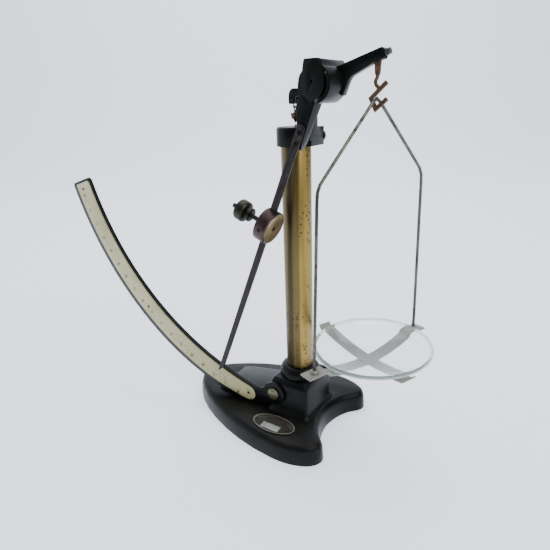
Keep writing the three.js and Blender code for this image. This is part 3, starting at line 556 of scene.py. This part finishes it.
def build_balance():
    enamel = black_stove_enamel()
    tube = column_brass()
    coin = brown_brass("rubbed_brass", (0.25, 0.185, 0.085), (0.16, 0.11, 0.052), (0.33, 0.26, 0.13))
    rim = brown_brass("plum_brass", (0.085, 0.055, 0.055), (0.05, 0.032, 0.034), (0.2, 0.12, 0.08))
    olive = brown_brass("olive_brass", (0.04, 0.039, 0.028), (0.022, 0.022, 0.017), (0.09, 0.085, 0.055))
    horn = brown_brass("greyed_brass", (0.2, 0.185, 0.12), (0.12, 0.11, 0.075), (0.3, 0.28, 0.2))
    steel = dull_metal(
        "tinned_steel", (0.31, 0.30, 0.255), (0.21, 0.205, 0.17), (0.16, 0.12, 0.075),
        rusting=0.34, metallic=0.4, rough=0.5,
    )
    grey_wire = dull_metal(
        "grey_wire", (0.16, 0.16, 0.125), (0.06, 0.06, 0.048), (0.07, 0.05, 0.03),
        rusting=0.42, metallic=0.75,
    )
    dim = dull_metal(
        "dim_steel", (0.10, 0.095, 0.088), (0.045, 0.04, 0.038), (0.07, 0.04, 0.028),
        rusting=0.38, metallic=0.7,
    )
    dark = dull_metal(
        "blackened_steel", (0.026, 0.021, 0.022), (0.012, 0.010, 0.011), (0.06, 0.032, 0.026),
        rusting=0.5, metallic=0.5, rough=0.45,
    )
    brown = dull_metal(
        "browned_steel", (0.15, 0.085, 0.042), (0.07, 0.038, 0.022), (0.12, 0.055, 0.025),
        rusting=0.5, metallic=0.6,
    )
    cream = scale_enamel(SCALE_FAR_END, SCALE_NEAR_END)

    refined("base_casting", enamel, 0.8 * MM, 4, 40)
    refined("name_plate", label_brass(middle("name_plate")), 0.15 * MM, 2)
    refined("column_tube", tube, 0.2 * MM, 2)
    refined("head_casting", enamel, 0.5 * MM, 3)
    refined("beam_casting", enamel, 0.5 * MM, 3)
    refined("scale_bar", enamel, 0.5 * MM, 3)
    refined("scale_plate", cream, 0.2 * MM, 2)
    refined("scale_clamp_screw", horn, 0.25 * MM)
    refined("head_lock_screw", dark, 0.25 * MM)
    refined("pointer", dark, 0.2 * MM, 2)
    turned_counterweight(coin, rim)
    threaded_stud(dark)
    glass_bowl(dish_glass(), ground_rim())
    bearing_screws(steel)
    for node in ("balance_nut", "balance_lock_nut"):
        refined(node, olive, 0.3 * MM)
    for node in ("cradle_strip_long", "cradle_strip_short", "front_bearing", "rear_bearing", "knife_edge",
                 "load_knife", "bail_foot_front", "bail_foot_back"):
        refined(node, steel, 0.15 * MM, 2)
    refined("bail_wire", grey_wire, 0.1 * MM, 2, 60)
    for node in ("name_plate_pin_left", "name_plate_pin_right", "arm_end_collar", "arm_end_nut",
                 "plumb_pin", "plumb_link"):
        refined(node, dim, 0.15 * MM, 2)
    for node in ("pointer_rivet_1", "pointer_rivet_2"):
        refined(node, enamel, 0.15 * MM, 2)
    for node in ("pan_hook", "plumb_bob"):
        refined(node, brown, 0.2 * MM, 2)
    refined("index_pin", coin, 0.1 * MM, 2)
    for node in ("scale_plate_pin_1", "scale_plate_pin_2", "scale_plate_pin_3", "counterweight_grub_screw"):
        refined(node, dark, 0.1 * MM, 2)


# ------------------------------------------------------------------ stage
def stage_sweep():
    """Floor that curves up into a wall far behind the balance."""
    mesh = bmesh.new()
    profile = [(-1.6, 0.0), (1.5, 0.0)]
    radius = 1.2
    for step in range(1, 17):
        turn = math.pi / 2 * step / 16
        profile.append((1.5 + radius * math.sin(turn), radius - radius * math.cos(turn)))
    profile.append((2.7, 4.5))
    back = Vector((-math.sin(HEADING), math.cos(HEADING), 0))
    across = Vector((math.cos(HEADING), math.sin(HEADING), 0))
    rows = [[mesh.verts.new(back * far + across * side + Vector((0, 0, up))) for side in (-6, 6)]
            for far, up in profile]
    for near, far in zip(rows, rows[1:]):
        mesh.faces.new([near[0], near[1], far[1], far[0]])
    data = bpy.data.meshes.new("sweep")
    mesh.to_mesh(data)
    mesh.free()
    for face in data.polygons:
        face.use_smooth = True
    data.materials.append(studio_paper())
    sweep = bpy.data.objects.new("sweep", data)
    bpy.context.scene.collection.objects.link(sweep)


def area_light(name, at, towards, size, power, colour=(1, 1, 1)):
    light = bpy.data.lights.new(name, "AREA")
    light.shape = "RECTANGLE"
    light.size, light.size_y = size
    light.energy = power
    light.color = colour
    made = bpy.data.objects.new(name, light)
    made.location = at
    made.rotation_euler = (Vector(towards) - Vector(at)).to_track_quat("-Z", "Y").to_euler()
    bpy.context.scene.collection.objects.link(made)


def light_stage():
    area_light("window", (1.5, -0.5, 1.5), (0, 0, 0.2), (1.6, 1.6), 30, (1, 0.99, 0.97))
    area_light("overhead", (-0.3, 0.3, 2.2), (0, 0, 0.1), (2.4, 2.4), 24, (0.97, 0.98, 1))
    area_light("wall_wash", (-0.6, 0.6, 2.6), (-1.3, 2.1, 1.0), (2.6, 1.2), 34, (0.98, 0.99, 1))
    area_light("left_card", (-1.6, -1.0, 0.9), (0, 0, 0.2), (1.2, 1.6), 7, (0.96, 0.98, 1))
    world = bpy.data.worlds.new("pale_room")
    world.use_nodes = True
    backdrop = world.node_tree.nodes["Background"]
    backdrop.inputs["Color"].default_value = (0.80, 0.88, 1.0, 1)
    backdrop.inputs["Strength"].default_value = 0.26
    bpy.context.scene.world = world


def place_camera():
    tilt, roll = math.radians(20.2), math.radians(-2.2)
    across = Vector((math.cos(HEADING), math.sin(HEADING), 0))
    ahead = Vector((-math.sin(HEADING), math.cos(HEADING), 0))
    at = Vector((0.2601, -0.4337, 0.38125))
    forward = ahead * math.cos(tilt) - Vector((0, 0, math.sin(tilt)))
    up = ahead * math.sin(tilt) + Vector((0, 0, math.cos(tilt)))
    right = across * math.cos(roll) + up * math.sin(roll)
    above = up * math.cos(roll) - across * math.sin(roll)
    camera = bpy.data.objects.new("camera", bpy.data.cameras.new("camera"))
    camera.data.sensor_width = 36
    camera.data.lens = 30.7636
    camera.data.clip_start = 0.01
    turn = Matrix((right, above, -forward)).transposed().to_4x4()
    camera.matrix_world = Matrix.Translation(at) @ turn
    bpy.context.scene.collection.objects.link(camera)
    bpy.context.scene.camera = camera


place_camera()
build_balance()
stage_sweep()
light_stage()
